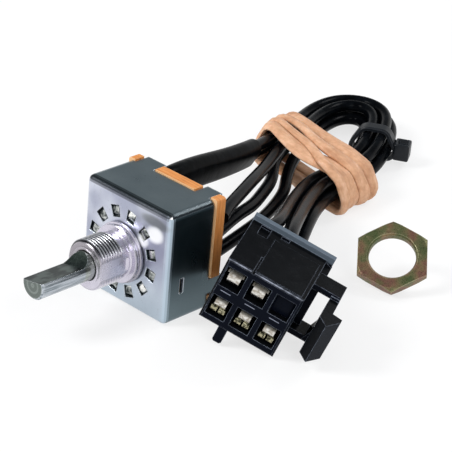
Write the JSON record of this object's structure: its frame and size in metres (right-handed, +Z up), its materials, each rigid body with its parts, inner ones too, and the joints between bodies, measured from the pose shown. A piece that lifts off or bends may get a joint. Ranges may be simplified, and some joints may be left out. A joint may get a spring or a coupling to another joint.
{
  "type": "rotary wiper switch",
  "caption": "Rotary dash switch in a square steel can with a threaded bushing and flatted shaft, wired through a folded harness to a multi-way plug, with its panel nut.",
  "frame": {"origin": "on the underside of the steel can, midway between its front and its rear", "axes": "+Z up from the can's underside, -Y out along the control shaft through the panel, +X to the right seen from the shaft"},
  "size_m": [0.087, 0.1425, 0.0257],
  "materials": {
    "zinc_steel": "bright zinc plate, slightly scuffed",
    "bushing_metal": "die cast, satin",
    "shaft_steel": "machined, polished end",
    "inner_steel": "bright",
    "rotor_plastic": "moulded",
    "wiper_brass": "spring strip",
    "board_laminate": "phenolic laminate, satin face and rough edge",
    "tinned_metal": "tin plated strip",
    "lead_insulation": "smooth vinyl",
    "sleeve_black": "shrunk tube, semi matt",
    "band_rubber": "natural rubber",
    "tie_plastic": "moulded nylon",
    "connector_plastic": "moulded nylon",
    "nut_metal": "yellow chromate over zinc"
  },
  "bodies": {
    "switch_body": {"housing_can": "zinc_steel", "threaded_bushing": "bushing_metal", "index_plate": "inner_steel", "terminal_board": "board_laminate", "heat_shrink": "sleeve_black", "rubber_band": "band_rubber", "cable_tie": "tie_plastic", "connector_housing": "connector_plastic", "mounting_nut": "nut_metal", "stator_terminal_1": "tinned_metal", "connector_terminal_1": "tinned_metal", "lead_1": "lead_insulation", "stator_terminal_2": "tinned_metal", "connector_terminal_2": "tinned_metal", "lead_2": "lead_insulation", "stator_terminal_3": "tinned_metal", "connector_terminal_3": "tinned_metal", "lead_3": "lead_insulation", "stator_terminal_4": "tinned_metal", "connector_terminal_4": "tinned_metal", "lead_4": "lead_insulation", "stator_terminal_5": "tinned_metal", "connector_terminal_5": "tinned_metal", "lead_5": "lead_insulation"},
    "shaft": {"control_shaft": "shaft_steel", "shaft_retaining_ring": "inner_steel", "rotor": "rotor_plastic", "detent_ball": "inner_steel", "detent_spring": "inner_steel", "contact_wiper": "wiper_brass", "wiper_spring": "inner_steel"}
  },
  "joints": [
    {"name": "shaft_turn", "type": "hinge", "parent": "switch_body", "child": "shaft", "pos_m": [-0.0008, 0, 0.01205], "axis": [0, -1, 0], "range_deg": [0, 90]}
  ]
}
